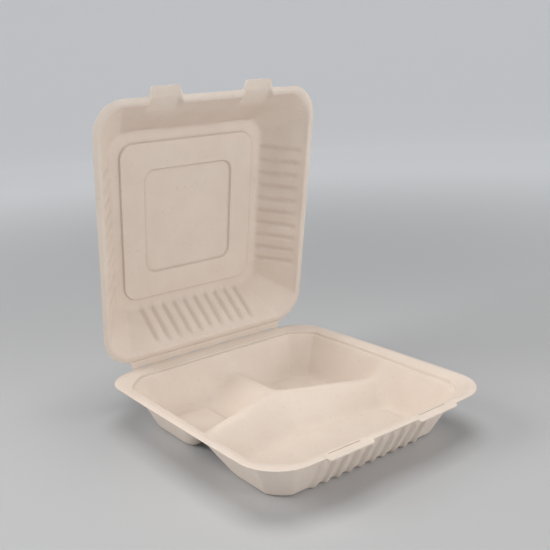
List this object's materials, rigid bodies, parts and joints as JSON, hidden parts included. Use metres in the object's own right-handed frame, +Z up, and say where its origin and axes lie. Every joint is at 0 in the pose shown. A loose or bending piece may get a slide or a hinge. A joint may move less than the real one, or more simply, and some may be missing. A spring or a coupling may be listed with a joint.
{
  "type": "hinged meal box",
  "caption": "Square meal box pressed from bagasse pulp, with a divided tray and a hinged lid standing open along a slit fold.",
  "frame": {"origin": "on the table, under the middle of the open box's bounding box", "axes": "+X along the fold, front edge of the tray towards -Y, +Z up"},
  "size_m": [0.23, 0.2663, 0.2727],
  "materials": {
    "tray_pulp": "matte",
    "lid_pulp": "matte"
  },
  "bodies": {
    "tray": {"tray": "tray_pulp"},
    "lid": {"lid": "lid_pulp"}
  },
  "joints": [
    {"name": "lid_hinge", "type": "hinge", "parent": "tray", "child": "lid", "pos_m": [0, 0.10072, 0.04117], "axis": [1, 0, 0], "range_deg": [-97.5, 82.5]}
  ]
}
